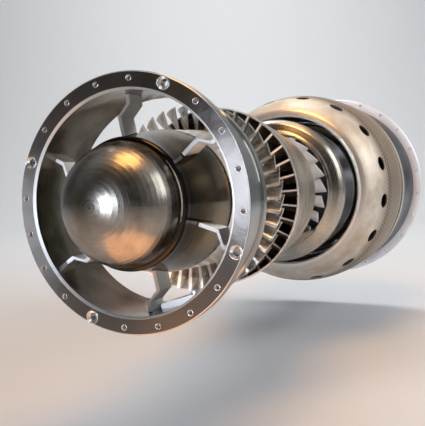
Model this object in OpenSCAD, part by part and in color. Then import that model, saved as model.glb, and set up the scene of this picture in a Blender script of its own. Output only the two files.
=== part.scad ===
// Small single-spool turbojet with its compressor and combustor laid open, millimetres.
// The engine axis is +Y, the inlet faces -Y, and the origin is the centre of the front
// flange's front face. Clock angles run clockwise from +Z, as seen from the inlet.

/* [Inlet casing] */
// Width of the front flange, from the duct's bore to its rim
flange_w = 15.5; // [15:0.5:20]
// Thickness of the front flange
flange_t = 10; // [7:0.5:14]
// Radius of the inlet duct and of the first rotor's flow path
duct_r = 95.5; // [94.5:0.25:96.5]
// Length of the inlet duct from the flange face
duct_len = 69; // [67:0.5:71]
// Wall of the inlet duct
duct_wall = 3.5; // [3:0.1:4.2]
// Height of the rear rim above the duct wall
rim_h = 1.6; // [1:0.1:2.5]
// Length of the rear rim
rim_len = 7; // [4:0.5:10]
// Width of the chamfer at the inlet lip
lip_chamfer = 2; // [1:0.1:3]
// Distance of the bolt circle inside the flange's rim
bolt_edge = 6; // [5.5:0.1:6.5]
// Diameter of the sixteen small flange holes
small_hole_d = 4.2; // [3:0.1:5.5]
// Diameter of the four large flange holes
large_hole_d = 7; // [5:0.1:8]
// Diameter of the countersinks of the large holes
sink_d = 10.6; // [9:0.1:11]
// Clock angle of the first large hole
large_hole_clock = 21.2; // [0:0.1:45]

/* [Hub and struts] */
// How far the hub stands out in front of the flange face
hub_lead = 3; // [1:0.5:8]
// Radius of the hub at its front edge, where the nose cone sits
hub_front_r = 53; // [51:0.1:55]
// Height of the rounded shoulder behind the nose cone
shoulder_h = 4; // [3:0.5:5]
// Radius of the hub at the end of the duct
hub_rear_r = 66.5; // [65:0.1:68]
// Wall of the hub shell
hub_wall = 3; // [2.4:0.1:3.6]
// Distance from the flange face to the front edge of the struts
strut_front = 20.5; // [16:0.5:26]
// Length of the struts along the axis
strut_len = 22; // [18:0.5:26]
// Thickness of the struts
strut_t = 3.4; // [2.4:0.1:4.6]
// Sideways jog of each strut, in degrees about the axis
strut_jog = 7.5; // [5:0.1:10]
// Clock angle of the outer half of the first strut
strut_clock = -5; // [-10:0.5:10]

/* [Nose cone and inlet plate] */
// Length of the nose cone
nose_len = 50; // [44:0.5:56]
// Wall of the nose cone
nose_wall = 1.8; // [1.4:0.1:2.4]
// Width of the plate on the duct floor
plate_w = 36; // [32:0.5:41]
// Length of the plate along the axis
plate_len = 30; // [24:0.5:34]
// Height of the plate's top above the duct floor
plate_h = 5.9; // [5:0.1:7]
// Gap between the plate and the foot of the bottom strut
plate_gap = 1; // [0.5:0.1:3]

/* [Compressor] */
// Distance from the flange face to the first rotor's leading edges
rotor_1_y = 125.5; // [122:0.5:129]
// Number of blades in the first rotor
rotor_1_n = 43; // [37:1:45]
// Clock angle of the first rotor's first blade
rotor_1_clock = 7.6; // [0:0.1:9]
// Axial length of the first rotor's blades at the root
front_root_len = 25; // [22:0.5:28]
// Axial length of the first rotor's blades at the tip
front_tip_len = 15; // [12:0.5:18]
// Axial length of the first stator's vanes
front_stator_len = 20; // [18:0.5:22]
// Number of vanes in the first stator
stator_1_n = 36; // [30:1:40]
// Clock angle of the first stator's first vane
stator_1_clock = 6; // [0:0.1:10]
// Axial length of the blades and vanes of the two rear stages
blade_len = 17; // [15:0.25:18]
// Axial gap between two blade rows
row_gap = 4; // [3.4:0.1:4.6]
// Clearance at the blade tips
tip_gap = 0.5; // [0.35:0.05:0.8]
// Hub radius of the flow path where the rear casing starts
hub_mid_r = 72.5; // [71.5:0.1:73.5]
// Thickness of the rotor rims and stator inner rings
rim_t = 3; // [2.4:0.1:3.6]
// Wall of the compressor casings
case_wall = 2.6; // [2.2:0.1:3.2]
// Start of the rear compressor casing
rear_case_y = 182; // [181:0.5:184]
// End of the rear compressor casing's taper
taper_end_y = 305; // [300:0.5:310]
// Casing bore radius at the end of the taper
low_tip_r = 80.2; // [79.5:0.1:81]
// Hub radius at the outlet vanes
low_hub_r = 58; // [56:0.1:60]
// Clock angle at which the window in the rear casing starts
window_start = 26; // [20:1:32]
// Clock angle at which that window ends
window_stop = 130; // [126:1:136]
// Start of the outlet vanes
outlet_y = 346; // [340:0.5:348]
// Axial length of the outlet vanes
outlet_len = 32; // [28:0.5:34]
// Number of outlet vanes
outlet_n = 23; // [19:1:25]

/* [Diffuser] */
// Front face of the diffuser casing
diff_y = 383; // [382.5:0.5:386]
// Largest radius of the diffuser casing's front rim
diff_rim_r = 100; // [98:0.5:102]
// Distance from the front face to the middle of the neck
neck_in = 56; // [53:0.5:59]
// Radius of the neck behind that rim
diff_neck_r = 83.5; // [82.5:0.1:85]
// Radius of the diffuser casing's rear edge
diff_end_r = 94.8; // [93:0.1:97]
// Wall of the diffuser casing behind its rim
diff_wall = 3.2; // [2.6:0.1:3.8]
// Rear face of the diffuser casing
diff_end_y = 491; // [488:0.5:494]
// Rear end of the diffuser outlet sleeve
sleeve_end_y = 528; // [522:0.5:532]

/* [Combustor] */
// Radius of the outer liner's front opening
liner_open_r = 110; // [108:0.5:112]
// Front edge of the outer liner
liner_y = 442; // [440:0.5:444]
// Largest radius of the outer liner
liner_r = 150; // [148:0.5:152]
// Where the outer liner reaches its largest radius
liner_full_y = 577; // [572:0.5:582]
// Rear edge of the outer liner
liner_end_y = 622; // [620:0.5:625]
// Thickness of the liner sheet
liner_t = 1.8; // [1.4:0.1:2.2]
// Number of dilution holes round the outer liner
dilution_n = 16; // [12:1:18]
// Distance from the liner's front edge to the middle of the dilution holes
dilution_in = 45; // [42:0.5:48]
// Diameter of the dilution holes
dilution_d = 21; // [16:0.5:23]
// Depth of the groove in front of the liner's rear band
groove_h = 3; // [2:0.5:4]
// Length of the liner's rear band
band_len = 12; // [9:0.5:14]
// Radius of the ring of burners
burner_r = 106; // [104:0.5:108]
// Number of fuel injectors
injector_n = 12; // [8:1:16]

/* [Turbine and rear casing] */
// Width of the rear flange, from the liner's radius to its rim
rear_flange_w = 14.7; // [13.5:0.1:18]
// Distance of the fixing circle inside the rear flange's rim
rear_bolt_edge = 5.2; // [4.6:0.1:6]
// Thickness of the rear flange
rear_flange_t = 7; // [5:0.5:9]
// Rear face of the rear flange
rear_y = 762; // [758:0.5:768]
// Diameter of the holes in the rear flange
rear_hole_d = 4.6; // [3:0.1:5.5]
// Waist radius of the rear casing
waist_r = 141; // [139:0.5:142.5]
// Wall of the rear casing
rear_wall = 2.5; // [2:0.1:3]
// Start of the turbine nozzle vanes
nozzle_y = 645; // [643:0.5:647]
// Axial length of the turbine nozzle vanes
nozzle_len = 22; // [19:0.5:24]
// Axial length of the turbine blades
turbine_len = 17; // [15:0.5:19]
// Hub radius of the turbine flow path
turbine_hub_r = 82; // [80.5:0.5:83.5]
// Tip radius of the turbine flow path
turbine_tip_r = 106; // [105:0.5:108]
// Thickness of the rings round the turbine
shroud_t = 3; // [2.4:0.1:4]

/* [Shaft and bearings] */
// Radius of the main shaft
shaft_r = 14; // [13:0.25:14.5]
// Radius of the shaft at the front bearing and alternator
stub_r = 9; // [8.5:0.25:10]
// Outer radius of both bearings
bearing_r = 26; // [25.5:0.25:27]
// Width of both bearings
bearing_w = 12; // [11:0.5:13]
// Front face of the front bearing
front_bearing_y = 30; // [29:0.5:33]
// Front face of the rear bearing
rear_bearing_y = 606; // [604:0.5:608]
// Radius of the alternator's coil pack
alternator_r = 40; // [37:0.5:42]
// Length of the alternator
alternator_len = 26; // [22:0.5:28]

/* [Hidden] */
$fn = 120;

// Radial clearance of parts that seat on each other
fit = 0.02;
// How far a blade root or web runs into the ring that carries it
sink = 1;
// Overcut of every hole beyond the faces it passes
over = 1;

// Radii of both flanges and of their hole circles
flange_r = duct_r + flange_w;
bolt_r = flange_r - bolt_edge;
rear_flange_r = liner_r + rear_flange_w;
rear_bolt_r = rear_flange_r - rear_bolt_edge;

// Stations of the blade rows behind the flange face
rotor_1_end = rotor_1_y + front_root_len;
stator_1_y = rear_case_y;
rotor_2_y = stator_1_y + front_stator_len + row_gap;
row_step = blade_len + row_gap;
stator_2_y = rotor_2_y + row_step;
rotor_3_y = stator_2_y + row_step;
stator_3_y = rotor_3_y + row_step;
stator_3_end = stator_3_y + blade_len;
turbine_y = nozzle_y + nozzle_len + 2*row_gap;
shroud_y = nozzle_y + nozzle_len + row_gap;
shroud_end = turbine_y + turbine_len + 2*row_gap;

// Flow path walls: hub and tip radius against the distance behind the flange face
hub_line = [[duct_len, hub_rear_r], [rear_case_y, hub_mid_r], [stator_3_end, hub_mid_r],
            [outlet_y, low_hub_r], [diff_y, low_hub_r], [nozzle_y - row_gap, turbine_hub_r],
            [rear_y, turbine_hub_r]];
tip_line = [[0, duct_r], [rear_case_y, duct_r], [taper_end_y, low_tip_r],
            [diff_y, low_tip_r], [nozzle_y - row_gap, turbine_tip_r], [rear_y, turbine_tip_r]];
function hub_at(y) = lookup(y, hub_line);
function tip_at(y) = lookup(y, tip_line);

// Turns a profile of [radius, y] points about the engine axis
module turned(profile) {
    rotate([-90, 0, 0]) rotate_extrude() polygon(profile);
}

// Turned part between two radii and two stations
module ring(inner, outer, y0, y1) {
    turned([[inner, y0], [outer, y0], [outer, y1], [inner, y1]]);
}

// Round bar or hole along the engine axis, from y0 to y1
module bar(r, y0, y1) {
    translate([0, y0, 0]) rotate([-90, 0, 0]) cylinder(r = r, h = y1 - y0);
}

// Carries a child from 12 o'clock to a clock angle
module at_clock(angle) {
    rotate([0, angle, 0]) children();
}

// Repeats a child evenly round the axis
module around(count, start = 0) {
    for (k = [0 : count - 1]) at_clock(start + k*360/count) children();
}

// Points of a quarter ellipse from [r0, y0] to [r1, y1], leaving r0 square to the axis
function quarter(r0, y0, r1, y1, steps) =
    [for (k = [0 : steps]) let (a = 90*k/steps) [r0 + (r1 - r0)*sin(a), y1 + (y0 - y1)*cos(a)]];

// Points of a smooth S from [r0, y0] to [r1, y1], level with the axis at both ends
function blend(s) = s*s*(3 - 2*s);
function ease(r0, y0, r1, y1, steps) =
    [for (k = [0 : steps]) let (s = k/steps) [r0 + (r1 - r0)*blend(s), y0 + (y1 - y0)*s]];

// Points of an arc about [r, y], with angle 0 away from the axis and 90 towards the inlet
function arc(r, y, radius, from, to, steps) =
    [for (k = [0 : steps]) let (a = mix(from, to, k/steps)) [r + radius*cos(a), y - radius*sin(a)]];

function moved(points, dr) = [for (p = points) [p[0] + dr, p[1]]];
function reversed(points) = [for (k = [len(points) - 1 : -1 : 0]) points[k]];
function tail(points) = [for (k = [1 : len(points) - 1]) points[k]];
function mix(a, b, f) = a + (b - a)*f;

// Section of a blade as a loop of [sideways, y] points: nose, one side, tail, other side.
// shift is how far the tail lies clockwise of the nose, bow the height of the camber.
function section(y0, length, shift, bow, thick, stations, fullness) =
    let (slant = atan2(shift, length), last = len(stations) - 1)
    let (mid = [for (s = stations) [shift*s + 4*bow*s*(1 - s), y0 + length*s]])
    let (side = [for (f = fullness) thick/2*f*[cos(slant), -sin(slant)]])
    concat([mid[0]], [for (k = [1 : last - 1]) mid[k] + side[k]],
           [mid[last]], [for (k = [last - 1 : -1 : 1]) mid[k] - side[k]]);

// Fine sections for the rows that lie open, plain ones for the rows inside the casing
fine = [[0, 0.1, 0.45, 0.8, 1], [0, 0.8, 1, 0.6, 0], [0, 0.5, 1]];
plain = [[0, 0.4, 1], [0, 1, 0], [0, 1]];

// One blade with its nose at 12 o'clock, lofted from the hub line to the tip line.
// length and shift are [root, tip], and root_off and tip_off are added to the two lines.
module blade(y0, length, shift, bow, thick, root_off, tip_off, detail = fine) {
    spans = detail[2];
    loops = [for (f = spans) section(y0, mix(length[0], length[1], f), mix(shift[0], shift[1], f), bow,
                                     thick*mix(1, 0.6, f), detail[0], detail[1])];
    count = len(loops[0]);
    half = count/2;
    points = [for (k = [0 : len(spans) - 1]) for (p = loops[k])
              let (r = mix(hub_at(p[1]) + root_off, tip_at(p[1]) + tip_off, spans[k]))
              [p[0], p[1], sqrt(r*r - p[0]*p[0])]];
    sides = [for (k = [0 : len(spans) - 2]) for (i = [0 : count - 1])
             let (a = k*count + i, b = k*count + (i + 1)%count)
             each [[b + count, b, a], [a + count, b + count, a]]];
    cap = [for (i = [0 : half - 1])
           let (front = i, next = i + 1, back = (count - i)%count, last = count - i - 1)
           each (i == 0 ? [[front, next, last]] : i == half - 1 ? [[front, next, back]] :
                 [[front, next, last], [front, last, back]])];
    top = (len(spans) - 1)*count;
    polyhedron(points, concat(sides, cap, [for (t = cap) [t[2] + top, t[1] + top, t[0] + top]]));
}

// Rotor disc: rim along the hub line, thin web and a bored boss from boss_y0 to boss_y1
web_t = 4.5;
boss_t = 7;

module rotor_disc(y0, y1, mid, boss_y0, boss_y1) {
    boss_r = shaft_r + boss_t;
    front = mid - web_t/2;
    back = mid + web_t/2;
    turned([[hub_at(y0) - rim_t, y0], [hub_at(y0), y0], [hub_at(y1), y1], [hub_at(y1) - rim_t, y1],
            [hub_at(mid) - rim_t, back + 3], [hub_at(mid) - rim_t - 3, back], [boss_r + 8, back],
            [boss_r, back + 4], [boss_r, boss_y1], [shaft_r + fit, boss_y1],
            [shaft_r + fit, boss_y0], [boss_r, boss_y0], [boss_r, front - 4], [boss_r + 8, front],
            [hub_at(mid) - rim_t - 3, front], [hub_at(mid) - rim_t, front - 3]]);
}

// Disc whose rim is as long as its blades, its boss standing out by boss_out at each end
module short_disc(y0, length, boss_out) {
    rotor_disc(y0, y0 + length, y0 + length/2, y0 - boss_out, y0 + length + boss_out);
}

// Stator inner ring along the hub line
module inner_ring(y0, y1) {
    turned([[hub_at(y0) - rim_t, y0], [hub_at(y0), y0], [hub_at(y1), y1], [hub_at(y1) - rim_t, y1]]);
}

// Edge left at the front and back of a row, so that its blades end on their rim
row_edge = 0.5;
function row_len(length) = [length - 2*row_edge, length - 2*row_edge];

// Inlet casing: flange, duct, six jogged struts and the hub shell in one casting
hub_front_y = -hub_lead;
hub_shoulder_len = 4;
hub_shoulder_r = hub_front_r + shoulder_h;
hub_shoulder_y = hub_front_y + hub_shoulder_len;
spigot_len = 6;
spigot_bore = hub_front_r - hub_wall;
hub_outer = concat(quarter(hub_front_r, hub_front_y, hub_shoulder_r, hub_shoulder_y, 5),
                   tail(ease(hub_shoulder_r, hub_shoulder_y, hub_rear_r, duct_len, 12)));
hub_bore = concat([[spigot_bore, hub_front_y], [spigot_bore, hub_front_y + spigot_len]],
                  ease(hub_shoulder_r - hub_wall, hub_shoulder_y + spigot_len,
                       hub_rear_r - hub_wall, duct_len, 12));
front_bearing_end = front_bearing_y + bearing_w;
seat_t = 4;
seat_r = bearing_r + seat_t;
web_y = front_bearing_y + 3;
web_end = front_bearing_end - 3;
flange_hole_n = 20;
large_every = 5;

function hub_skin(y) =
    mix(hub_shoulder_r, hub_rear_r, blend((y - hub_shoulder_y)/(duct_len - hub_shoulder_y)));

// The strut's jog lies between these two radii
jog_out_r = duct_r - 9;
jog_in_r = duct_r - 18;
strut_root_r = hub_skin(strut_front) - hub_wall/2;
strut_path = [[duct_r + sink, 0], [jog_out_r, 0], [jog_in_r, -strut_jog], [strut_root_r, -strut_jog]];
function strut_side(way) =
    [for (p = strut_path) [p[0]*sin(p[1]) + way*strut_t/2, p[0]*cos(p[1])]];

module strut() {
    translate([0, strut_front + strut_len, 0]) rotate([90, 0, 0])
        linear_extrude(strut_len) polygon(concat(strut_side(1), reversed(strut_side(-1))));
}

module flange_hole(large) {
    bar((large ? large_hole_d : small_hole_d)/2, -over, flange_t + over);
    if (large) {
        depth = (sink_d - large_hole_d)/2;
        translate([0, -over, 0]) rotate([-90, 0, 0])
            cylinder(r1 = sink_d/2 + over, r2 = large_hole_d/2, h = depth + over);
    }
}

module inlet_casing() color("#8c9296") {
    outer_r = duct_r + duct_wall;
    difference() {
        turned([[duct_r, lip_chamfer], [duct_r + lip_chamfer, 0], [flange_r - 1, 0], [flange_r, 1],
                [flange_r, flange_t], [outer_r + 2, flange_t], [outer_r, flange_t + 2],
                [outer_r, duct_len - rim_len - rim_h], [outer_r + rim_h, duct_len - rim_len],
                [outer_r + rim_h, duct_len], [duct_r, duct_len]]);
        for (k = [0 : flange_hole_n - 1])
            at_clock(large_hole_clock + k*360/flange_hole_n) translate([0, 0, bolt_r])
                flange_hole(k%large_every == 0);
        at_clock(plate_clock) translate([screw_x, plate_mid_y, 0])
            cylinder(r = screw_r + fit, h = duct_r + duct_wall/2);
    }
    turned(concat(hub_outer, reversed(hub_bore)));
    ring(bearing_r + fit, seat_r, front_bearing_y, front_bearing_end);
    ring(seat_r - sink, hub_skin(web_y) - hub_wall + sink, web_y, web_end);
    difference() {
        around(6, strut_clock) strut();
        turned(concat([[0, hub_front_y]], hub_bore, [[0, duct_len]]));
    }
}

// Nose cone: spun dome with a spigot that enters the hub
spigot_r = spigot_bore - fit;
nose_tip_y = hub_front_y - nose_len;
nose_outer = quarter(0, nose_tip_y, hub_front_r, hub_front_y, 18);
nose_inner = quarter(0, nose_tip_y + nose_wall, hub_front_r - nose_wall, hub_front_y - nose_wall, 18);

module nose_cone() color("#b9b4ac") {
    turned(concat(nose_outer, [[spigot_r, hub_front_y], [spigot_r, hub_front_y + spigot_len],
                  [spigot_r - nose_wall, hub_front_y + spigot_len],
                  [spigot_r - nose_wall, hub_front_y - nose_wall]], reversed(nose_inner)));
}

// Inlet plate: flat pad screwed to the duct floor, one corner beside the bottom strut's foot
plate_r = duct_r - plate_h;
plate_corner_r = norm([plate_w/2, plate_r]);
plate_clock = strut_clock + 180 - atan2(plate_w/2, plate_r)
              - asin((plate_gap + strut_t/2)/plate_corner_r);
plate_edge = 4;
plate_mid_y = duct_len - plate_edge - plate_len/2;
screw_r = 2;
screw_head_r = 4;
screw_head_t = 2;
screw_x = screw_head_r + 3 - plate_w/2;
slot_w = 1;

module inlet_plate() color("#e4e6e8") {
    difference() {
        intersection() {
            bar(duct_r - fit, 0, duct_len);
            at_clock(plate_clock) translate([-plate_w/2, plate_mid_y - plate_len/2, plate_r])
                cube([plate_w, plate_len, duct_r - plate_r]);
        }
        at_clock(plate_clock) translate([screw_x, plate_mid_y, 0]) cylinder(r = screw_r + fit, h = duct_r);
    }
}

module plate_screw() color("#f2f2f0") {
    at_clock(plate_clock) translate([screw_x, plate_mid_y, plate_r - screw_head_t]) difference() {
        union() {
            cylinder(r = screw_head_r, h = screw_head_t);
            cylinder(r = screw_r, h = screw_head_t + duct_r - plate_r);
        }
        translate([-screw_head_r, -slot_w/2, -over]) cube([2*screw_head_r, slot_w, over + slot_w]);
    }
}

// Alternator: coil pack on the bearing web, magnet rotor on the shaft stub
alternator_end = front_bearing_y - 4;
alternator_y = alternator_end - alternator_len;
magnet_r = alternator_r/2;
coil_n = 12;
coil_r = 3.5;
coil_head = 2;

module alternator_stator() color("#a0603a") {
    ring(magnet_r + tip_gap, alternator_r, alternator_y, alternator_end);
    ring(seat_r + 2, alternator_r, alternator_end - sink, web_y);
    around(coil_n) translate([0, 0, alternator_r - coil_r - 2])
        bar(coil_r, alternator_y - coil_head, alternator_y + sink);
}

module alternator_rotor() color("#5c6068") {
    ring(stub_r + fit, magnet_r, alternator_y + 2, alternator_end - 2);
    ring(stub_r + fit, stub_r + 3, alternator_end - 2 - sink, front_bearing_y);
}

// Bearings: two grooved races and a caged ball set between them
ball_n = 9;
ball_clear = 0.03;
cage_t = 2.6;
function race_mid(inner) = (inner + bearing_r)/2;
function ball_size(inner) = (bearing_r - inner)*0.29;
function race_edge(inner) = ball_size(inner)*0.62;

module race(y0, inner, from, to) {
    difference() {
        ring(from, to, y0, y0 + bearing_w);
        rotate([-90, 0, 0]) rotate_extrude() translate([race_mid(inner), y0 + bearing_w/2])
            circle(r = ball_size(inner) + ball_clear);
    }
}

module outer_race(y0, inner) {
    race(y0, inner, race_mid(inner) + race_edge(inner), bearing_r);
}

module inner_race(y0, inner) {
    race(y0, inner, inner + fit, race_mid(inner) - race_edge(inner));
}

module ball_cage(y0, inner) {
    mid_y = y0 + bearing_w/2;
    around(ball_n) translate([0, mid_y, race_mid(inner)]) rotate([0, 0, 90])
        sphere(r = ball_size(inner));
    ring(race_mid(inner) - cage_t/2, race_mid(inner) + cage_t/2, mid_y - cage_t/2, mid_y + cage_t/2);
}

module front_bearing_outer() color("#b8bcc0") outer_race(front_bearing_y, stub_r);
module front_bearing_cage() color("#c8a860") ball_cage(front_bearing_y, stub_r);
module front_bearing_inner() color("#b8bcc0") inner_race(front_bearing_y, stub_r);
module rear_bearing_outer() color("#b8bcc0") outer_race(rear_bearing_y, shaft_r);
module rear_bearing_cage() color("#c8a860") ball_cage(rear_bearing_y, shaft_r);
module rear_bearing_inner() color("#b8bcc0") inner_race(rear_bearing_y, shaft_r);

// Wedge between two clock angles that opens a casing to view
module window(first, last, y0, y1) {
    reach = 2*flange_r;
    steps = 6;
    translate([0, y1, 0]) rotate([90, 0, 0]) linear_extrude(y1 - y0)
        polygon(concat([[0, 0]], [for (k = [0 : steps])
            let (a = mix(first, last, k/steps)) reach*[sin(a), cos(a)]]));
}

// First stage, which lies open: twisted blades on a drum, then vanes in the casing's mouth
module rotor_1() color("#a8a49c") {
    rotor_disc(duct_len + row_gap, rear_case_y - row_gap, (rotor_1_y + rotor_1_end)/2, rotor_1_y,
               rotor_1_end);
    around(rotor_1_n, rotor_1_clock)
        blade(rotor_1_y, [front_root_len, front_tip_len], [-11, -19], -1.6, 2.6, -sink, -tip_gap);
}

module stator_1() color("#8e8a84") {
    inner_ring(stator_1_y, stator_1_y + front_stator_len);
    around(stator_1_n, stator_1_clock)
        blade(stator_1_y + row_edge, row_len(front_stator_len), [7, 9], 1.6, 2.6, -sink, -fit);
}

// Rear stages, which run inside the rear casing
module rotor_2() color("#a8a49c") {
    short_disc(rotor_2_y, blade_len, 0);
    around(45) rear_blade(rotor_2_y);
}

module rotor_3() color("#a8a49c") {
    short_disc(rotor_3_y, blade_len, 0);
    around(47) rear_blade(rotor_3_y);
}

module stator_2() color("#8e8a84") {
    inner_ring(stator_2_y, stator_2_y + blade_len);
    around(46) rear_vane(stator_2_y);
}

module stator_3() color("#8e8a84") {
    inner_ring(stator_3_y, stator_3_end);
    around(48) rear_vane(stator_3_y);
}

module rear_blade(y0) {
    blade(y0 + row_edge, row_len(blade_len), [-7, -9], -0.8, 2, -sink, -tip_gap, plain);
}

module rear_vane(y0) {
    blade(y0 + row_edge, row_len(blade_len), [5, 6], 0.8, 2, -sink, -fit, plain);
}

// Spacers that clamp the discs, the rear bearing and the turbine wheel along the shaft
spacer_t = 4;

module spacer(y0, y1) {
    ring(shaft_r + fit, shaft_r + spacer_t, y0, y1);
}

module spacer_1() color("#7c7e82") spacer(rotor_1_end, rotor_2_y);
module spacer_2() color("#7c7e82") spacer(rotor_2_y + blade_len, rotor_3_y);
module long_spacer() color("#7c7e82") spacer(rotor_3_y + blade_len, rear_bearing_y);
module turbine_spacer() color("#7c7e82") spacer(rear_bearing_end, turbine_boss_y);

// Rear compressor casing: tapered shell that reaches back to the diffuser, with a window
edge_t = 1.6;

module rear_case() color("#7d7468") {
    difference() {
        turned([[duct_r, rear_case_y], [duct_r + edge_t, rear_case_y],
                [duct_r + edge_t, rear_case_y + 2], [tip_at(rear_case_y + 8) + case_wall, rear_case_y + 8],
                [low_tip_r + case_wall, taper_end_y], [low_tip_r + case_wall, diff_y],
                [low_tip_r, diff_y], [low_tip_r, taper_end_y]]);
        window(window_start, window_stop, taper_end_y, diff_y + over);
    }
}

// Diffuser hub: inner wall of the flow path from the last stator to the combustor
diff_hub_t = 2.5;
hub_end_r = 74;
tunnel_y = diff_y - 12;
tunnel_web = 5;
tunnel_r = bearing_r + seat_t;
tunnel_flange_r = tunnel_r + 14;
bolt_circle = tunnel_r + 8;
bolt_n = 8;
stud_r = 2.5;
diff_hub_outer = concat(ease(hub_mid_r, stator_3_end, low_hub_r, outlet_y, 8),
                        ease(low_hub_r, diff_y, hub_end_r, diff_end_y, 8));

module diffuser_hub() color("#9a958c") {
    turned(concat(diff_hub_outer, reversed(moved(diff_hub_outer, -diff_hub_t))));
    difference() {
        ring(tunnel_r + fit, low_hub_r - diff_hub_t + sink, tunnel_y, tunnel_y + tunnel_web);
        around(bolt_n) translate([0, 0, bolt_circle])
            bar(stud_r + fit, tunnel_y - over, tunnel_y + tunnel_web + over);
    }
}

// Outlet guide vanes: broad cast vanes on a ring of their own
vane_ring_t = 2;

module outlet_vanes() color("#d4d6d8") {
    ring(low_hub_r + fit, low_hub_r + vane_ring_t, outlet_y, outlet_y + outlet_len);
    around(outlet_n) blade(outlet_y + row_edge, row_len(outlet_len), [15, 18], 1.6, 3.2, sink, -fit);
}

// Diffuser casing: front rim, waisted neck and a flared rear edge
neck_y = diff_y + neck_in;
rim_back_y = diff_y + 24;
lip_r = low_tip_r + case_wall - 1.3;
flare_steps = 8;
flare = [for (k = [1 : flare_steps]) let (s = k/flare_steps)
         [mix(diff_neck_r, diff_end_r, s*s), mix(neck_y, diff_end_y - 2.5, s)]];

module diffuser_casing() color("#a79f93") {
    turned(concat(
        [[low_tip_r, diff_y], [lip_r, diff_y]],
        ease(lip_r + 2, diff_y + 1, diff_rim_r - 5, diff_y + 7, 4),
        [[diff_rim_r - 1.5, diff_y + 11], [diff_rim_r, diff_y + 18]],
        ease(diff_rim_r - 1, rim_back_y, diff_neck_r, neck_y, 8),
        flare,
        [[diff_end_r, diff_end_y], [diff_end_r - diff_wall, diff_end_y]],
        reversed(moved(flare, -diff_wall)),
        [[diff_neck_r - diff_wall, neck_y], [low_tip_r, rim_back_y]]));
}

// Outlet sleeve: dark cylinder that leads from the diffuser into the liner
sleeve_t = 1.8;
sleeve_seat = 2;

module outlet_sleeve() color("#4a4c4c") {
    outer = diff_end_r - diff_wall - fit;
    ring(outer - sleeve_t, outer, diff_end_y - sleeve_seat, sleeve_end_y);
    ring(outer - sleeve_t, diff_end_r - 1, diff_end_y, diff_end_y + 2);
}

// Outer liner: domed sheet with a rolled front lip, dilution holes and a stepped rear band
dome_steps = 20;
dilution_y = liner_y + dilution_in;
dilution_clock = 7.6;
band_y = liner_end_y - band_len;
groove_y = band_y - 18;
ramp_len = 3;
band_h = 0.5;
liner_dome = quarter(liner_open_r, liner_y, liner_r, liner_full_y, dome_steps);
liner_bore = quarter(liner_open_r, liner_y + liner_t, liner_r - liner_t, liner_full_y, dome_steps);
liner_seat_r = liner_r - groove_h - liner_t;

module outer_liner() color("#b5a894") {
    difference() {
        turned(concat([[liner_open_r - liner_t, liner_y + 14], [liner_open_r - liner_t, liner_y + 1]],
            liner_dome,
            [[liner_r, groove_y], [liner_r - groove_h, groove_y + ramp_len],
             [liner_r - groove_h, band_y - ramp_len], [liner_r + band_h, band_y],
             [liner_r + band_h, liner_end_y], [liner_seat_r, liner_end_y],
             [liner_seat_r, groove_y + ramp_len], [liner_r - liner_t, groove_y]],
            reversed(liner_bore), [[liner_open_r, liner_y + 14]]));
        around(dilution_n, dilution_clock) dilution_cut();
    }
}

module dilution_cut() {
    s = (liner_full_y - dilution_y)/(liner_full_y - liner_y);
    r = mix(liner_open_r, liner_r, sqrt(1 - s*s));
    slope = atan2((liner_r - liner_open_r)*s, (liner_full_y - liner_y)*sqrt(1 - s*s));
    reach = dilution_d/2;
    translate([0, dilution_y, r]) rotate([slope, 0, 0]) translate([0, 0, -reach])
        cylinder(d = dilution_d, h = 2*reach);
}

// Inner liner: flame tube wall that rises into a round dome, pierced for the burners
dome_half = 16;
dome_y = 574;
rim_tail = 10;
inner_liner_r = turbine_hub_r + 1.2;
burner_bore = 6;
liner_seat_len = 6;
flame_dome_start = burner_r - dome_half;
inner_wall = concat(ease(inner_liner_r, nozzle_y - 6, flame_dome_start, dome_y, 6),
                    arc(burner_r, dome_y, dome_half, 180, 0, 14),
                    [[burner_r + dome_half, dome_y + rim_tail]]);
inner_face = concat(ease(inner_liner_r + liner_t, nozzle_y - 6, flame_dome_start + liner_t, dome_y, 6),
                    arc(burner_r, dome_y, dome_half - liner_t, 180, 0, 14),
                    [[burner_r + dome_half - liner_t, dome_y + rim_tail]]);

module inner_liner() color("#8c8274") {
    difference() {
        turned(concat(inner_wall, reversed(inner_face)));
        around(injector_n) translate([0, 0, burner_r])
            bar(burner_bore + fit, dome_y - dome_half - over, dome_y);
    }
}

// Fuel manifold ring with the injectors that carry it in the flame tube's dome
manifold_r = 4;
manifold_lead = 18;
manifold_y = dome_y - dome_half - manifold_lead;
burner_cup = 12;

module fuel_manifold() color("#9aa0a4") {
    rotate([-90, 0, 0]) rotate_extrude() translate([burner_r, manifold_y]) circle(r = manifold_r);
}

module fuel_injectors() color("#9aa0a4") {
    around(injector_n) translate([0, 0, burner_r]) difference() {
        union() {
            bar(3, manifold_y, dome_y - dome_half);
            bar(burner_bore, dome_y - dome_half - 6, dome_y - 4);
            bar(burner_bore + 2, dome_y - dome_half - 4, dome_y - dome_half - 1);
        }
        translate([0, 0, -burner_r]) rotate([-90, 0, 0]) rotate_extrude()
            translate([burner_r, manifold_y]) circle(r = manifold_r + fit);
        bar(burner_bore - 2, dome_y - burner_cup, dome_y);
    }
}

// Shaft tunnel: carries the rear bearing and the turbine nozzle from the diffuser hub
rear_bearing_end = rear_bearing_y + bearing_w;
cone_t = 3;
cone_y = rear_bearing_y - 10;

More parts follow.
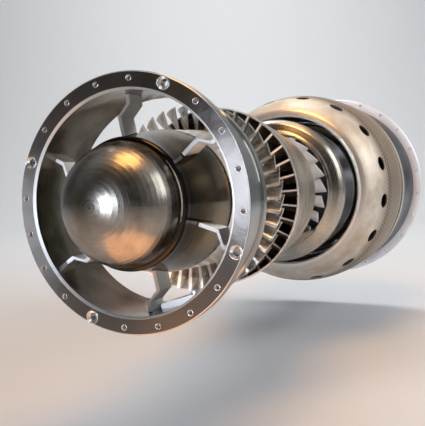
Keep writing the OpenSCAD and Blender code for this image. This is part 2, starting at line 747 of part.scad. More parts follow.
module shaft_tunnel() color("#6f7276") {
    difference() {
        turned([[bearing_r + fit, tunnel_y], [tunnel_r, tunnel_y], [tunnel_r, tunnel_y + tunnel_web],
                [tunnel_flange_r, tunnel_y + tunnel_web], [tunnel_flange_r, tunnel_y + tunnel_web + 4],
                [tunnel_r + 2, tunnel_y + tunnel_web + 4], [tunnel_r, tunnel_y + tunnel_web + 6],
                [tunnel_r, cone_y], [turbine_hub_r - cone_t, nozzle_y - 8],
                [inner_liner_r - fit, nozzle_y - 8], [inner_liner_r - fit, nozzle_y],
                [turbine_hub_r - rim_t, nozzle_y], [turbine_hub_r - 2*cone_t, nozzle_y - 4],
                [tunnel_r, cone_y + 8], [tunnel_r, rear_bearing_end + 4],
                [bearing_r + fit, rear_bearing_end + 4]]);
        around(bolt_n) translate([0, 0, bolt_circle])
            bar(stud_r + fit, tunnel_y, tunnel_y + tunnel_web + 4 + over);
    }
}

module tunnel_bolts() color("#8a8d90") {
    around(bolt_n) translate([0, 0, bolt_circle]) {
        bar(stud_r, tunnel_y - 1, tunnel_y + tunnel_web + 4);
        translate([0, tunnel_y + tunnel_web + 4, 0]) rotate([-90, 0, 0])
            cylinder(r = 2*stud_r, h = 4, $fn = 6);
    }
}

// Turbine nozzle: guide vanes between two rings
nozzle_n = 19;
nozzle_shift = [15, 18];

module turbine_nozzle() color("#7a6e62") {
    ring(turbine_hub_r - rim_t, turbine_hub_r, nozzle_y, nozzle_y + nozzle_len);
    around(nozzle_n) blade(nozzle_y + row_edge, row_len(nozzle_len), nozzle_shift, -3, 4, -sink, sink);
    ring(turbine_tip_r, turbine_tip_r + shroud_t, nozzle_y - row_gap, shroud_y);
}

module turbine_shroud() color("#7a6e62") {
    ring(turbine_tip_r, turbine_tip_r + shroud_t, shroud_y, shroud_end);
}

turbine_boss = 5;
turbine_boss_y = turbine_y - turbine_boss;
turbine_boss_end = turbine_y + turbine_len + turbine_boss;

module turbine_wheel() color("#8a7f74") {
    short_disc(turbine_y, turbine_len, turbine_boss);
    around(31) blade(turbine_y + row_edge, row_len(turbine_len), [-8, -11], 3, 3.4, -sink, -tip_gap);
}

// Rear casing: waisted shell with the rear flange and the web that holds the turbine rings
rear_hole_n = 24;
rear_hole_clock = 5.7;
flange_front = rear_y - rear_flange_t;
corner_r = liner_r;
spigot_y = band_y;
rear_web_y = nozzle_y - 12;
rear_web_t = 5;
waist_y = mix(rear_web_y, flange_front, 0.45);
rear_outer = concat([[liner_seat_r - fit, spigot_y], [liner_seat_r - fit, rear_web_y + rear_web_t + 2]],
                    ease(liner_seat_r - 1, rear_web_y + rear_web_t + 6, waist_r, waist_y, 6),
                    ease(waist_r, waist_y + 8, corner_r, flange_front, 6));
rear_bore_r = corner_r - rear_wall;

module rear_casing() color("#6a737c") {
    difference() {
        union() {
            turned(concat(rear_outer,
                [[rear_flange_r - 1, flange_front], [rear_flange_r, flange_front + 1],
                 [rear_flange_r, rear_y], [rear_bore_r, rear_y], [rear_bore_r, flange_front]],
                reversed(moved(rear_outer, -rear_wall))));
            ring(turbine_tip_r + shroud_t + fit, liner_seat_r - sink, rear_web_y, rear_web_y + rear_web_t);
            ring(turbine_tip_r + shroud_t + fit, turbine_tip_r + 2*shroud_t, rear_web_y,
                 nozzle_y + row_gap);
        }
        around(rear_hole_n, rear_hole_clock) translate([0, 0, rear_bolt_r])
            bar(rear_hole_d/2, flange_front - over, rear_y + over);
    }
}

// Exhaust duct: cone from the turbine shroud out to the rear flange
duct_rim = 4;

module exhaust_duct() color("#6f6a64") {
    cone_out = rear_bore_r - duct_rim;
    turned([[turbine_tip_r, shroud_end], [turbine_tip_r + shroud_t, shroud_end],
            [cone_out, flange_front], [rear_bore_r - fit, flange_front + 1],
            [rear_bore_r - fit, rear_y], [cone_out - rear_wall, rear_y],
            [cone_out - rear_wall, flange_front]]);
}

// Main shaft with its front stub, the shoulder for the first disc and a threaded tail
nut_len = 9;
shoulder_y = rotor_1_y - 6;
shoulder_r = shaft_r + spacer_t;
nut_y = alternator_y + 2 - nut_len;
shaft_end = turbine_boss_end + nut_len + 3;

module main_shaft() color("#9a9ea2") {
    turned([[0, nut_y - 3], [stub_r - 1, nut_y - 3], [stub_r, nut_y - 2], [stub_r, front_bearing_end],
            [stub_r + 3, front_bearing_end], [stub_r + 3, front_bearing_end + 6],
            [shaft_r, front_bearing_end + 10], [shaft_r, shoulder_y - 4], [shoulder_r, shoulder_y],
            [shoulder_r, rotor_1_y], [shaft_r, rotor_1_y], [shaft_r, shaft_end - 1],
            [shaft_r - 1, shaft_end], [0, shaft_end]]);
}

module hex_nut(bore, y0) {
    translate([0, y0, 0]) rotate([-90, 0, 0]) difference() {
        cylinder(r = bore + 7, h = nut_len, $fn = 6);
        translate([0, 0, -over]) cylinder(r = bore + fit, h = nut_len + 2*over);
    }
}

module front_nut() color("#70747a") hex_nut(stub_r, nut_y);
module rear_nut() color("#70747a") hex_nut(shaft_r, turbine_boss_end);

inlet_casing();
nose_cone();
inlet_plate();
plate_screw();
alternator_stator();
alternator_rotor();
front_bearing_outer();
front_bearing_cage();
front_bearing_inner();
rotor_1();
stator_1();
rear_case();
rotor_2();
stator_2();
rotor_3();
stator_3();
spacer_1();
spacer_2();
long_spacer();
turbine_spacer();
diffuser_hub();
outlet_vanes();
diffuser_casing();
outlet_sleeve();
outer_liner();
inner_liner();
fuel_manifold();
fuel_injectors();
shaft_tunnel();
tunnel_bolts();
rear_bearing_outer();
rear_bearing_cage();
rear_bearing_inner();
turbine_nozzle();
turbine_shroud();
turbine_wheel();
rear_casing();
exhaust_duct();
main_shaft();
front_nut();
rear_nut();
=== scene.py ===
import math
import bpy
import bmesh
from mathutils import Matrix, Vector


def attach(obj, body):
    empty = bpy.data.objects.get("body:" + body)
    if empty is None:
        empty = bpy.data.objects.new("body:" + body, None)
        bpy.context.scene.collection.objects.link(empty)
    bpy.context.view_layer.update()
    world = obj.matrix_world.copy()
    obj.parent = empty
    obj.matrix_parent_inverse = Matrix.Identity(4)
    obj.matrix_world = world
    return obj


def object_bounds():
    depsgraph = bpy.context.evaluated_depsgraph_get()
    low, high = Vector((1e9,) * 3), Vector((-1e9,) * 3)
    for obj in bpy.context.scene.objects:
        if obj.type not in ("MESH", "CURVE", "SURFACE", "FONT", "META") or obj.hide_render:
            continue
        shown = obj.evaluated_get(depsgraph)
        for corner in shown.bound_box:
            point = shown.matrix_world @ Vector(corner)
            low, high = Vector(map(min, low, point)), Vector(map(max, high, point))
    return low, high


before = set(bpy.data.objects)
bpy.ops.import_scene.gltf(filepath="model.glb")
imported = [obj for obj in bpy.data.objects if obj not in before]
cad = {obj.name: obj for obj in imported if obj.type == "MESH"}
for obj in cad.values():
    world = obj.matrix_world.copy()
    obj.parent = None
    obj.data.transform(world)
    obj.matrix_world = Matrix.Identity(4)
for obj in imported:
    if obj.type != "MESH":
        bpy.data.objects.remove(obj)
cad_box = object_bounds()

# Camera: it stands half a metre in front of the inlet, to the right of the engine axis.
# Its place and focal length were solved from the circles of the flange, duct and casings.
photo_width_px = 425
focal_px = 630.1
film_width_mm = 36.0
camera_place = Vector((0.2787, -0.4539, 0.0199))
camera_right = Vector((0.91544, 0.40170, -0.02402))
camera_up = Vector((0.0, 0.05970, 0.99822))
camera_back = camera_right.cross(camera_up)
camera_data = bpy.data.cameras.new("photo_camera")
camera_data.sensor_fit = "HORIZONTAL"
camera_data.sensor_width = film_width_mm
camera_data.lens = film_width_mm*focal_px/photo_width_px
camera_data.clip_start = 0.02
camera = bpy.data.objects.new("photo_camera", camera_data)
bpy.context.scene.collection.objects.link(camera)
camera.matrix_world = Matrix((
    (camera_right.x, camera_up.x, camera_back.x, camera_place.x),
    (camera_right.y, camera_up.y, camera_back.y, camera_place.y),
    (camera_right.z, camera_up.z, camera_back.z, camera_place.z),
    (0.0, 0.0, 0.0, 1.0)))
bpy.context.scene.camera = camera
bpy.context.scene.view_settings.view_transform = "Standard"


# Inlet casing: one aluminium casting with flange, duct, six jogged struts and hub. It is
# turned on a lathe, so the flange's face catches light in two wide sectors, and the duct
# and hub are polished nearly to a mirror.
def srgb(code):
    """An sRGB hex colour as linear red, green, blue and alpha."""
    parts = [int(code[k:k + 2], 16)/255 for k in (1, 3, 5)]
    return [p/12.92 if p <= 0.04045 else ((p + 0.055)/1.055)**2.4 for p in parts] + [1.0]


def plug(tree, made, inputs):
    """Gives a node's inputs a number, a colour's hex code, or a link from a node or socket."""
    for name, source in inputs.items():
        if isinstance(source, bpy.types.Node):
            source = next(socket for socket in source.outputs if socket.enabled)
        if isinstance(source, bpy.types.NodeSocket):
            tree.links.new(source, made.inputs[name])
        elif isinstance(source, str):
            made.inputs[name].default_value = srgb(source)
        else:
            made.inputs[name].default_value = source


def node(tree, kind, inputs=None, **settings):
    """Adds a node with its settings, and plugs in its inputs."""
    made = tree.nodes.new(kind)
    for name, value in settings.items():
        setattr(made, name, value)
    plug(tree, made, inputs or {})
    return made


def metal(name, grain=0.0):
    """A new metal, its tree and its shader. grain is the anisotropy that turning leaves, a
    quarter turn from the rings, so that the highlights fan out across them."""
    material = bpy.data.materials.new(name)
    material.use_nodes = True
    tree = material.node_tree
    shader = tree.nodes["Principled BSDF"]
    plug(tree, shader, {"Metallic": 1.0})
    if grain:
        tangent = node(tree, "ShaderNodeTangent", direction_type="RADIAL", axis="Y")
        plug(tree, shader, {"Anisotropic": grain, "Anisotropic Rotation": 0.25,
                            "Tangent": tangent})
    return material, tree, shader


def around_axis(tree):
    """A point's distance from the engine axis, and its distance along it."""
    place = node(tree, "ShaderNodeTexCoord").outputs["Object"]
    split = node(tree, "ShaderNodeSeparateXYZ", {"Vector": place})
    flat = node(tree, "ShaderNodeCombineXYZ", {"X": split.outputs["X"], "Y": split.outputs["Z"]})
    return node(tree, "ShaderNodeVectorMath", {0: flat}, operation="LENGTH"), split.outputs["Y"]


def zone(tree, *limits):
    """A mask of the surface inside all limits. Each is a measure, the value at which it shuts
    the surface out, and the value at which it lets it in fully."""
    mask = None
    for measure, shut, full in limits:
        inside = node(tree, "ShaderNodeMapRange",
                      {"Value": measure, "From Min": shut, "From Max": full})
        mask = inside if mask is None else node(tree, "ShaderNodeMath", {0: mask, 1: inside},
                                                operation="MULTIPLY")
    return mask


def painted(tree, colour, *layers):
    """A colour with layers over it. Each is the mask of where it lies, and its colour."""
    for mask, layer in layers:
        colour = node(tree, "ShaderNodeMix", {"Factor": mask, 6: colour, 7: layer},
                      data_type="RGBA")
    return colour


def lathe_marks(tree, shader, spacing_mm, depth, rough, cloud_mm=45, waves=0.0, matt=()):
    """Rings of fine ridges in the bump, and a worn polish with roughness between two values.
    waves is how far the polish has left the surface wavy, beside the ridges. matt holds masks
    and the roughness that each adds. Gives the haze of the polish, in clouds cloud_mm across.
    A turning tool's ridges are 0.1 to 0.3 mm apart. That is too fine to show where a pixel is
    0.8 mm or more, so spacing_mm is several times coarser."""
    light_wear, heavy_wear = 0.1, 0.45
    ridge_height = 0.0002
    radius, along = around_axis(tree)
    rings = node(tree, "ShaderNodeCombineXYZ", {"X": radius, "Y": along})
    ridges = node(tree, "ShaderNodeTexNoise", {"Vector": rings, "Scale": 1000/spacing_mm,
                                               "Detail": 3.0, "Roughness": 0.6})
    place = node(tree, "ShaderNodeTexCoord").outputs["Object"]
    cloud = node(tree, "ShaderNodeTexNoise", {"Vector": place, "Scale": 1000/cloud_mm,
                                              "Detail": 4.0})
    wear = node(tree, "ShaderNodeMath", {0: ridges, 1: cloud}, operation="MULTIPLY")
    least_rough, most_rough = rough
    polish = node(tree, "ShaderNodeMapRange", {
        "Value": wear, "From Min": light_wear, "From Max": heavy_wear,
        "To Min": least_rough, "To Max": most_rough})
    for mask, more in matt:
        polish = node(tree, "ShaderNodeMath", {0: mask, 1: more, 2: polish},
                      operation="MULTIPLY_ADD")
    height = node(tree, "ShaderNodeMath", {0: cloud, 1: waves, 2: ridges},
                  operation="MULTIPLY_ADD")
    bump = node(tree, "ShaderNodeBump", {"Height": height, "Strength": depth,
                                         "Distance": ridge_height})
    plug(tree, shader, {"Roughness": polish, "Normal": bump})
    return cloud


def finish_with(material, *names):
    """Gives CAD nodes their material."""
    for name in names:
        cad[name].data.materials.clear()
        cad[name].data.materials.append(material)


# The limits are in metres. The duct's bore is 95.5 mm in radius, its lip a chamfer of 2 mm,
# the flange's rim 111 mm, and the struts run from 20.5 to 42.5 mm behind the flange's face.
# haze is how dense the polish's clouds are where their colour starts, and where it is full.
haze = (0.35, 0.65)
hub_taper = 0.2
cast_aluminium, tree, shader = metal("turned_cast_aluminium", grain=0.95)
radius, along = around_axis(tree)
hub_skin = node(tree, "ShaderNodeMath", {0: along, 1: -hub_taper, 2: radius},
                operation="MULTIPLY_ADD")
beyond_lip = (radius, 0.0962, 0.0972)
outside = zone(tree, beyond_lip)
face = zone(tree, beyond_lip, (along, 0.0012, 0.0006))
# The duct's lip is painted near-white: a painted highlight.
lip_highlight = zone(tree, (radius, 0.0900, 0.0910), (radius, 0.0976, 0.0974), (along, 0.0024, 0.0020))
hole_mouths = zone(tree, (radius, 0.0984, 0.0988), (radius, 0.1107, 0.1104),
                   (along, 0.00005, 0.0002), (along, 0.0032, 0.0028))
# The struts are of the same casting, painted near-white as if lit: a painted highlight.
painted_lit_struts = zone(tree, (hub_skin, 0.0556, 0.0560), (radius, 0.0952, 0.0950),
              (along, 0.0200, 0.0204), (along, 0.0430, 0.0426))
hub = zone(tree, (hub_skin, 0.0560, 0.0556), (along, 0.0760, 0.0700))
# The hub's shoulder behind the nose cone is painted near-black: painted shade.
shoulder_shade = zone(tree, (radius, 0.0620, 0.0610), (along, 0.0240, 0.0080))
bright = node(tree, "ShaderNodeMath", {0: lip_highlight, 1: hole_mouths}, operation="MAXIMUM")
unpolished = node(tree, "ShaderNodeMath", {0: painted_lit_struts, 1: bright}, operation="MAXIMUM")
cloud = lathe_marks(tree, shader, spacing_mm=0.9, depth=0.06, rough=(0.12, 0.24), cloud_mm=30,
                    waves=40.0, matt=((face, 0.13), (unpolished, 0.32)))
plug(tree, shader, {"Base Color": painted(
    tree, "#625f58", (zone(tree, (cloud, *haze)), "#918f88"), (outside, "#a3a3a2"),
    (hub, "#7f7462"), (shoulder_shade, "#38332c"), (face, "#787572"), (painted_lit_struts, "#e8e8e5"),
    (bright, "#f2f2f0"))})
finish_with(cast_aluminium, "inlet_casing")


# Edges of the flange's holes: the chamfer that a countersinking bit leaves round each one,
# cut bright through the darker face. Every fifth hole is a large one.
hole_count, large_every = 20, 5
hole_circle_r = 0.105
first_hole_clock = 21.2
large_hole_r, small_hole_r = 0.0053, 0.0021
edge_steps = 24
# The edge's section, as distances outside the hole and behind the flange's face.
edge_section = ((0.0001, 0.0004), (0.0001, -0.0001), (0.0005, -0.00016), (0.0007, 0.0001))
fresh_cut, tree, shader = metal("fresh_cut_aluminium")
plug(tree, shader, {"Base Color": "#d9dbdc"})
lathe_marks(tree, shader, spacing_mm=0.5, depth=0.1, rough=(0.16, 0.3), cloud_mm=8)
points, faces = [], []
for hole in range(hole_count):
    clock = math.radians(first_hole_clock + 360/hole_count*hole)
    hole_r = small_hole_r if hole % large_every else large_hole_r
    first = len(points)
    for outward, behind_face in edge_section:
        for step in range(edge_steps):
            turn = 2*math.pi*step/edge_steps
            points.append((hole_circle_r*math.sin(clock) + (hole_r + outward)*math.cos(turn),
                           behind_face,
                           hole_circle_r*math.cos(clock) + (hole_r + outward)*math.sin(turn)))
    for corner in range(len(edge_section)):
        near = first + corner*edge_steps
        far = first + (corner + 1) % len(edge_section)*edge_steps
        faces += [(near + i, near + (i + 1) % edge_steps, far + (i + 1) % edge_steps, far + i)
                  for i in range(edge_steps)]
mesh = bpy.data.meshes.new("flange_hole_edges")
mesh.from_pydata(points, [], faces)
mesh.validate()
work = bmesh.new()
work.from_mesh(mesh)
bmesh.ops.recalc_face_normals(work, faces=work.faces)
work.to_mesh(mesh)
work.free()
for polygon in mesh.polygons:
    polygon.use_smooth = True
mesh.materials.append(fresh_cut)
hole_edges = bpy.data.objects.new("flange_hole_edges", mesh)
bpy.context.scene.collection.objects.link(hole_edges)
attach(hole_edges, "engine")


# Nose cone: spun stainless steel dome, its spigot pushed into the hub's mouth, and polished
# to a satin mirror. The polish has hazy patches and fine rings, faintly straw-coloured.
stainless, tree, shader = metal("polished_stainless_steel")
cloud = lathe_marks(tree, shader, spacing_mm=0.5, depth=0.012, rough=(0.21, 0.34), cloud_mm=22,
                    waves=40.0)
plug(tree, shader, {"Base Color": painted(tree, "#827c72",
                                          (zone(tree, (cloud, *haze)), "#a19e98"))})
finish_with(stainless, "nose_cone")


# Plate on the duct floor and its slotted screw: bare aluminium, milled flat, so that the
# light lies on it as one even patch.
milled_aluminium, tree, shader = metal("milled_aluminium")
plug(tree, shader, {"Base Color": "#eeeff0", "Metallic": 0.7})
lathe_marks(tree, shader, spacing_mm=0.6, depth=0.1, rough=(0.34, 0.5), cloud_mm=12)
finish_with(milled_aluminium, "inlet_plate", "plate_screw")


# Alternator in the hub: varnished copper windings on the stator, which shine through the
# varnish, and a ground steel magnet rotor on the shaft, in the next section's steel.
copper, tree, shader = metal("varnished_copper_wire")
plug(tree, shader, {"Base Color": "#a0603a"})
lathe_marks(tree, shader, spacing_mm=1.2, depth=0.5, rough=(0.25, 0.45))
finish_with(copper, "alternator_stator")


# Shaft, spacers, nuts and the tunnel's bolts: turned and ground alloy steel with a grey
# sheen. The magnet rotor has the same finish.
ground_steel, tree, shader = metal("ground_alloy_steel")
plug(tree, shader, {"Base Color": "#8f9296"})
lathe_marks(tree, shader, spacing_mm=0.7, depth=0.15, rough=(0.2, 0.38))
finish_with(ground_steel, "main_shaft", "front_nut", "rear_nut", "spacer_1", "spacer_2",
            "long_spacer", "turbine_spacer", "alternator_rotor", "tunnel_bolts")


# Bearings: hardened steel races, ground bright enough to mirror, with the balls in a
# machined brass cage of a softer yellow shine.
race_steel, tree, shader = metal("hardened_race_steel")
plug(tree, shader, {"Base Color": "#b8bcc0"})
lathe_marks(tree, shader, spacing_mm=0.4, depth=0.06, rough=(0.1, 0.2))
finish_with(race_steel, "front_bearing_outer", "front_bearing_inner", "rear_bearing_outer",
            "rear_bearing_inner")
brass, tree, shader = metal("machined_brass")
plug(tree, shader, {"Base Color": "#c0a060"})
lathe_marks(tree, shader, spacing_mm=0.6, depth=0.1, rough=(0.2, 0.35))
finish_with(brass, "front_bearing_cage", "rear_bearing_cage")


# Compressor blade rows: milled from steel discs in one piece with their rims. The faces are
# satin and warm grey, and the edges and tips carry painted highlights in a paler colour.
highlight_width = 0.0006


def blade_metal(name, front_y, tip_r, face_colour, highlight_colour):
    """Blade steel, with painted highlights on the leading edges, before front_y, and on the
    tips, at tip_r.
    """
    material, tree, shader = metal(name)
    radius, along = around_axis(tree)
    leading_edge = zone(tree, (along, front_y + highlight_width, front_y))
    tip = zone(tree, (radius, tip_r - highlight_width, tip_r))
    edge_highlight = node(tree, "ShaderNodeMath", {0: leading_edge, 1: tip}, operation="MAXIMUM")
    cloud = lathe_marks(tree, shader, spacing_mm=0.9, depth=0.08, rough=(0.24, 0.42),
                        cloud_mm=10)
    plug(tree, shader, {"Base Color": painted(
        tree, "#a59f95", (zone(tree, (cloud, *haze)), face_colour), (edge_highlight, highlight_colour))})
    return material


rotor_steel = blade_metal("milled_rotor_steel", 0.1268, 0.0946, "#dedad3", "#faf9f6")
finish_with(rotor_steel, "rotor_1")
vane_steel = blade_metal("milled_vane_steel", 0.1836, 0.0953, "#d3cec6", "#f6f4f0")
finish_with(vane_steel, "stator_1")
inner_steel = blade_metal("milled_inner_blade_steel", 0.18, 0.0952, "#cfcac2", "#ece9e2")
finish_with(inner_steel, "rotor_2", "rotor_3", "stator_2", "stator_3")


# Rear compressor casing: rolled and turned steel, satin, gone brown-grey with heat. Its thin
# front edge is painted pale: a painted highlight.
browned_steel, tree, shader = metal("heat_browned_satin_steel", grain=0.35)
_, along = around_axis(tree)
front_edge_highlight = zone(tree, (along, 0.1842, 0.1836))
cloud = lathe_marks(tree, shader, spacing_mm=1.1, depth=0.14, rough=(0.22, 0.4))
plug(tree, shader, {"Base Color": painted(
    tree, "#968b7e", (zone(tree, (cloud, *haze)), "#b7b0a5"), (front_edge_highlight, "#eceae4"))})
finish_with(browned_steel, "rear_case")


# Outlet vanes: cast aluminium, blasted and left pale, so that they stand out white in the
# casing's window.
blasted_aluminium, tree, shader = metal("blasted_cast_aluminium")
plug(tree, shader, {"Base Color": "#eceff2", "Metallic": 0.4})
lathe_marks(tree, shader, spacing_mm=1.4, depth=0.15, rough=(0.42, 0.58), cloud_mm=6)
finish_with(blasted_aluminium, "outlet_vanes")


# Diffuser casing and hub: turned aluminium, warm grey on the rim. The waisted neck is matt, with
# a paler blue-grey painted reflection, and the rear edge has a near-white painted highlight.
turned_aluminium, tree, shader = metal("turned_aluminium", grain=0.5)
_, along = around_axis(tree)
neck_reflection = zone(tree, (along, 0.410, 0.422), (along, 0.488, 0.484))
rear_edge_highlight = zone(tree, (along, 0.4842, 0.4858))
pale = node(tree, "ShaderNodeMath", {0: neck_reflection, 1: rear_edge_highlight}, operation="MAXIMUM")
cloud = lathe_marks(tree, shader, spacing_mm=1.0, depth=0.12, rough=(0.2, 0.34),
                    matt=((neck_reflection, 0.12),))
plug(tree, shader, {
    "Base Color": painted(tree, "#a9a197", (zone(tree, (cloud, *haze)), "#c4bfb7"),
                          (neck_reflection, "#c3cddc"), (rear_edge_highlight, "#f0f0ee")),
    "Metallic": node(tree, "ShaderNodeMapRange", {"Value": pale, "To Min": 1.0,
                                                  "To Max": 0.4})})
finish_with(turned_aluminium, "diffuser_casing", "diffuser_hub")


# Sleeve and shaft tunnel: rolled steel, grey and satin from the burner's heat. Both stand
# in the shade of what is round them.
rolled_steel, tree, shader = metal("dark_rolled_steel")
plug(tree, shader, {"Base Color": "#85888a"})
lathe_marks(tree, shader, spacing_mm=1.0, depth=0.15, rough=(0.38, 0.55))
finish_with(rolled_steel, "outlet_sleeve", "shaft_tunnel")


# Combustor liners, manifold and injectors: the liners are pressed nickel alloy sheet, matt and
# mottled sandy grey from firing. On the outer one two rows of effusion holes ring the sheet as
# near-black spots of painted shade, the groove before the rear band is painted dark as shade,
# and the rolled front lip and the rear band are painted pale as highlights. The rest is tube.
row_hole_count, row_hole_pitch = 160, 0.0056
row_stations, row_stagger = (0.5035, 0.5110), 0.5
# Real effusion holes are 1 to 2 mm across, which is too fine to show, so these are 3.2 mm.
row_hole_r = 0.0016
mottle_mm, stain_mm = 14, 60
# Oxide grain is about 0.1 mm, which is too fine to show, so it is drawn 1.5 mm wide.
grain_mm = 1.5
# How high the grain stands, as a share of the holes' depth in the bump.
grain_height = 0.3


def spots_around(tree, offset, count, pitch, shift, spot_r):
    """A mask of round spots, count of them at even steps round the axis, where offset is
    zero. shift is the place of the first one, as a share of a step from clock 0. A hundred
    whole steps keep the count positive, and half a step puts the spot mid-step."""
    whole_steps, mid_step, blur = 100, 0.5, 0.15
    place = node(tree, "ShaderNodeTexCoord").outputs["Object"]
    split = node(tree, "ShaderNodeSeparateXYZ", {"Vector": place})
    angle = node(tree, "ShaderNodeMath", {0: split.outputs["X"], 1: split.outputs["Z"]},
                 operation="ARCTAN2")
    steps = node(tree, "ShaderNodeMath", {0: angle, 1: count/(2*math.pi),
                                          2: whole_steps + mid_step - shift},
                 operation="MULTIPLY_ADD")
    within_step = node(tree, "ShaderNodeMath", {0: steps}, operation="FRACT")
    sideways = node(tree, "ShaderNodeMath", {0: within_step, 1: pitch, 2: -mid_step*pitch},
                    operation="MULTIPLY_ADD")
    spot = node(tree, "ShaderNodeCombineXYZ", {"X": sideways, "Y": offset})
    reach = node(tree, "ShaderNodeVectorMath", {0: spot}, operation="LENGTH")
    return zone(tree, (reach, (1 + blur)*spot_r, (1 - blur)*spot_r))


def fired_sheet(name, low, high, outer):
    """Fired nickel alloy sheet, mottled between two colours. The outer liner has as well its
    holes as near-black spots of painted shade, painted highlights on the lip and rear band,
    painted shade in the groove, and a burnt middle."""
    material, tree, shader = metal(name)
    place = node(tree, "ShaderNodeTexCoord").outputs["Object"]
    mottle = node(tree, "ShaderNodeTexNoise", {"Vector": place, "Scale": 1000/mottle_mm,
                                               "Detail": 5.0, "Roughness": 0.65})
    stain = node(tree, "ShaderNodeTexNoise", {"Vector": place, "Scale": 1000/stain_mm,
                                              "Detail": 3.0})
    grain = node(tree, "ShaderNodeTexNoise", {"Vector": place, "Scale": 1000/grain_mm,
                                              "Detail": 2.0})
    colour = painted(tree, low, (zone(tree, (mottle, 0.3, 0.7)), high),
                     (zone(tree, (stain, 0.5, 0.75)), "#b5a48e"))
    rough = node(tree, "ShaderNodeMapRange", {"Value": mottle, "From Min": 0.3, "From Max": 0.7,
                                              "To Min": 0.46, "To Max": 0.62})
    height = node(tree, "ShaderNodeMath", {0: grain, 1: grain_height}, operation="MULTIPLY")
    if outer:
        _, along = around_axis(tree)
        # Each effusion hole is a near-black spot of painted shade, and a dent in the bump.
        rows = []
        for row, station in enumerate(row_stations):
            offset = node(tree, "ShaderNodeMath", {0: along, 1: station}, operation="SUBTRACT")
            rows.append(spots_around(tree, offset, row_hole_count, row_hole_pitch,
                                     row_stagger*row, row_hole_r))
        holes = node(tree, "ShaderNodeMath", {0: rows[0], 1: rows[1]}, operation="MAXIMUM")
        heated = node(tree, "ShaderNodeMapRange", {"Value": along, "From Min": 0.4760,
                                                   "From Max": 0.5040, "To Max": 0.8})
        cooler = node(tree, "ShaderNodeMapRange", {"Value": along, "From Min": 0.6100,
                                                   "From Max": 0.5700, "To Min": 0.45})
        burnt = node(tree, "ShaderNodeMath", {0: heated, 1: cooler}, operation="MULTIPLY")
        lip_highlight = zone(tree, (along, 0.4490, 0.4450))
        # The groove is painted dark: painted shade.
        groove = zone(tree, (along, 0.5925, 0.5950), (along, 0.6100, 0.6075))
        band_highlight = zone(tree, (along, 0.6098, 0.6104))
        # The lip and the rear band are painted pale: painted highlights.
        lip_and_band_highlight = node(tree, "ShaderNodeMath", {0: lip_highlight, 1: band_highlight}, operation="MAXIMUM")
        colour = painted(tree, colour, (burnt, "#7f6f5f"), (lip_and_band_highlight, "#d6d2ca"),
                         (groove, "#4c4640"), (holes, "#14110e"))
        rough = node(tree, "ShaderNodeMath", {0: lip_and_band_highlight, 1: -0.2, 2: rough},
                     operation="MULTIPLY_ADD")
        height = node(tree, "ShaderNodeMath", {0: height, 1: holes}, operation="SUBTRACT")
    bump = node(tree, "ShaderNodeBump", {"Height": height, "Strength": 0.5, "Distance": 0.0004})
    plug(tree, shader, {"Metallic": 0.65, "Base Color": colour, "Roughness": rough,
                        "Normal": bump})
    return material


liner_sheet = fired_sheet("fired_liner_sheet", "#c8c0b5", "#e4ddd2", outer=True)
finish_with(liner_sheet, "outer_liner")
inner_sheet = fired_sheet("fired_inner_sheet", "#8f8474", "#a99c88", outer=False)
finish_with(inner_sheet, "inner_liner")
drawn_tube, tree, shader = metal("drawn_steel_tube")
plug(tree, shader, {"Base Color": "#9aa0a4"})
lathe_marks(tree, shader, spacing_mm=0.8, depth=0.1, rough=(0.25, 0.35))
finish_with(drawn_tube, "fuel_manifold", "fuel_injectors")


# Turbine: cast nickel alloy nozzle, shroud and wheel, dulled to brown-grey patches by the
# gas, with the exhaust duct behind them.
cast_alloy, tree, shader = metal("cast_nickel_alloy")
cloud = lathe_marks(tree, shader, spacing_mm=1.2, depth=0.2, rough=(0.32, 0.5), cloud_mm=25)
plug(tree, shader, {"Base Color": painted(tree, "#6f655c",
                                          (zone(tree, (cloud, 0.38, 0.62)), "#8e8072"))})
finish_with(cast_alloy, "turbine_nozzle", "turbine_shroud", "turbine_wheel", "exhaust_duct")


# Rear casing: rolled steel channel, satin and blue-grey, welded to a machined flange whose front
# is painted white: a painted reflection. The flange's 24 holes are painted dark: painted shade.
rear_hole_r, rear_hole_count, rear_hole_clock, rear_bore_r = 0.1595, 24, 5.7, 0.0025
grey_steel, tree, shader = metal("blue_grey_rolled_steel", grain=0.3)
radius, along = around_axis(tree)
# The flange's front is painted white and made less metallic: a painted reflection.
flange = zone(tree, (radius, 0.1500, 0.1506), (along, 0.7540, 0.7546))
# The flange's holes are painted dark: painted shade.
off_circle = node(tree, "ShaderNodeMath", {0: radius, 1: rear_hole_r}, operation="SUBTRACT")
bore_shade = spots_around(tree, off_circle, rear_hole_count, 2*math.pi*rear_hole_r/rear_hole_count,
                     rear_hole_clock*rear_hole_count/360, rear_bore_r)
cloud = lathe_marks(tree, shader, spacing_mm=1.2, depth=0.12, rough=(0.26, 0.4),
                    matt=((flange, 0.12),))
plug(tree, shader, {
    "Base Color": painted(tree, "#69727b", (zone(tree, (cloud, *haze)), "#838c95"),
                          (flange, "#f6f8fb"), (bore_shade, "#2a2d31")),
    "Metallic": node(tree, "ShaderNodeMapRange", {"Value": flange, "To Min": 1.0,
                                                  "To Max": 0.55})})
finish_with(grey_steel, "rear_casing")


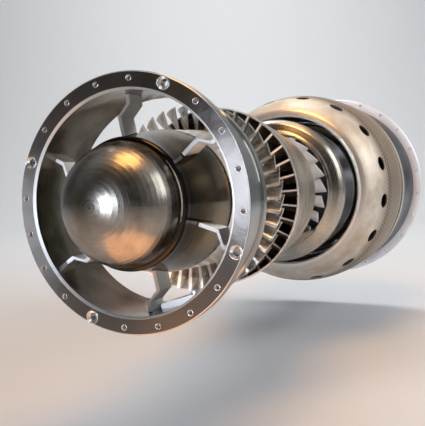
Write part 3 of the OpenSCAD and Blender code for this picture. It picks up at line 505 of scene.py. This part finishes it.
# Studio: a sweep of pale paper from the floor up behind the engine, and five square lamps.
# The front one makes the nose cone's white spot, the two warm ones its golden patches, and
# the side and back ones light the casings and the paper.
floor_gap = 0.06
view_way = Vector((-0.402, 0.916, 0.0))
across = Vector((0.916, 0.402, 0.0))
near_edge, flat_end, bend_r, bend_steps = -6.0, 2.4, 1.6, 24
wall_top, half_width = 8.0, 22.0
profile = [(near_edge, 0.0)]
profile += [(flat_end + bend_r*math.sin(t), bend_r*(1 - math.cos(t)))
            for t in (math.pi/2*k/bend_steps for k in range(bend_steps + 1))]
profile.append((flat_end + bend_r, wall_top))
floor_z = cad_box[0][2] - floor_gap
points = []
for run, height in profile:
    for side in (-half_width, half_width):
        spot = view_way*run + across*side
        points.append((spot.x, spot.y, floor_z + height))
faces = [(2*k, 2*k + 1, 2*k + 3, 2*k + 2) for k in range(len(profile) - 1)]
mesh = bpy.data.meshes.new("paper_sweep")
mesh.from_pydata(points, [], faces)
for polygon in mesh.polygons:
    polygon.use_smooth = True
sweep = bpy.data.objects.new("paper_sweep", mesh)
bpy.context.scene.collection.objects.link(sweep)
paper = bpy.data.materials.new("pale_paper")
paper.use_nodes = True
plug(paper.node_tree, paper.node_tree.nodes["Principled BSDF"],
     {"Base Color": "#d8dce2", "Roughness": 0.85})
mesh.materials.append(paper)
# Each lamp: place and aim in metres, side in metres, spread in degrees, power in watts, tint.
for name, place, aim, side, spread, power, tint in (
        ("front_lamp", (-0.09, -1.35, 0.06), (0, 0, 0), 0.5, 60, 1.7, "#e9f0ff"),
        ("warm_ceiling", (0.13, -0.05, 1.2), (0.05, 0.1, 0), 0.6, 180, 9.5, "#ffbe74"),
        ("warm_bounce", (0.06, -0.09, -0.215), (0.06, -0.09, 0), 0.26, 180, 0.4, "#ffb271"),
        ("side_box", (2.3, 1.0, 1.3), (0, 0.5, 0), 1.6, 180, 34.0, "#ffffff"),
        ("back_wash", (-0.6, 1.6, 2.6), (-1.2, 3.2, 0.6), 1.6, 180, 70.0, "#fffdf8")):
    lamp_data = bpy.data.lights.new(name, "AREA")
    lamp_data.shape = "SQUARE"
    lamp_data.size = side
    lamp_data.spread = math.radians(spread)
    lamp_data.energy = power
    lamp_data.color = srgb(tint)[:3]
    lamp = bpy.data.objects.new(name, lamp_data)
    lamp.location = place
    lamp.visible_camera = False
    lamp.rotation_euler = (Vector(aim) - Vector(place)).to_track_quat("-Z", "Y").to_euler()
    bpy.context.scene.collection.objects.link(lamp)
# The room that the metal mirrors: dark in front of the inlet, light behind the exhaust.
world = bpy.data.worlds.new("studio")
world.use_nodes = True
bpy.context.scene.world = world
tree = world.node_tree
direction = node(tree, "ShaderNodeTexCoord").outputs["Generated"]
split = node(tree, "ShaderNodeSeparateXYZ", {"Vector": direction})
rearward = zone(tree, (split.outputs["Y"], -0.7, 0.6))
plug(tree, tree.nodes["Background"], {"Color": painted(tree, "#2b2927", (rearward, "#c4c4c3"))})
